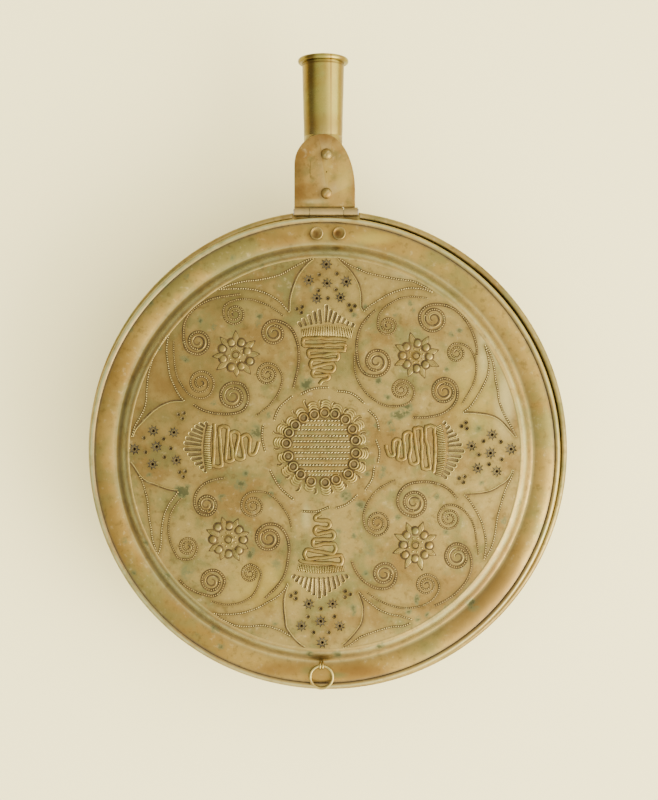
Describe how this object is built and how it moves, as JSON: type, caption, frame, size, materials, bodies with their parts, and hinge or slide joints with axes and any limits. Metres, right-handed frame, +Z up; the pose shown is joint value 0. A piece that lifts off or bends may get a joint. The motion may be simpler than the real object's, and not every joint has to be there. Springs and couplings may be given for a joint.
{
  "type": "bed warming pan",
  "caption": "Round brass bed warming pan with a hinged, pierced and chased domed lid, a lift ring and a turned socket for a wooden handle.",
  "frame": {"origin": "centre of the pan's flat base, where the pan rests", "axes": "+Z up; +Y from the pan towards the mouth of the handle socket, along the handle; +X to the right when the lift ring faces the viewer"},
  "size_m": [0.3048, 0.4039, 0.0863],
  "materials": {
    "pan_brass": "hammered sheet brass with an old patina",
    "lid_brass": "chased sheet brass, worn on the high parts and dark in the recesses",
    "hinge_brass": "thick sheet brass with a brown patina",
    "socket_brass": "cast and turned brass, smooth",
    "rivet_brass": "hammered rivet heads",
    "wire_brass": "drawn wire, polished by handling",
    "forged_iron": "forged, dark oxide",
    "iron_wire": "drawn iron wire"
  },
  "bodies": {
    "pan": {"pan_body": "pan_brass", "pan_rim_wire": "iron_wire", "pan_bracket": "forged_iron", "bracket_rivet_upper_left": "forged_iron", "bracket_rivet_upper_right": "forged_iron", "bracket_rivet_lower_left": "forged_iron", "bracket_rivet_lower_right": "forged_iron", "handle_socket": "socket_brass", "hinge_plate": "hinge_brass", "plate_rivet_inner": "rivet_brass", "plate_rivet_outer": "rivet_brass", "hinge_pin": "iron_wire"},
    "lid": {"lid": "lid_brass", "lid_rim_wire": "iron_wire", "hinge_leaf": "hinge_brass", "lid_rivet_left": "rivet_brass", "lid_rivet_right": "rivet_brass", "ring_staple": "wire_brass"},
    "ring": {"lift_ring": "wire_brass"}
  },
  "joints": [
    {"name": "lid_hinge", "type": "hinge", "parent": "pan", "child": "lid", "pos_m": [0, 0.1509, 0.0722], "axis": [-1, 0, 0], "range_deg": [0, 155]},
    {"name": "ring_swing", "type": "hinge", "parent": "lid", "child": "ring", "pos_m": [-0.004, -0.1358, 0.07625], "axis": [-1, 0, 0], "range_deg": [0, 150]}
  ]
}
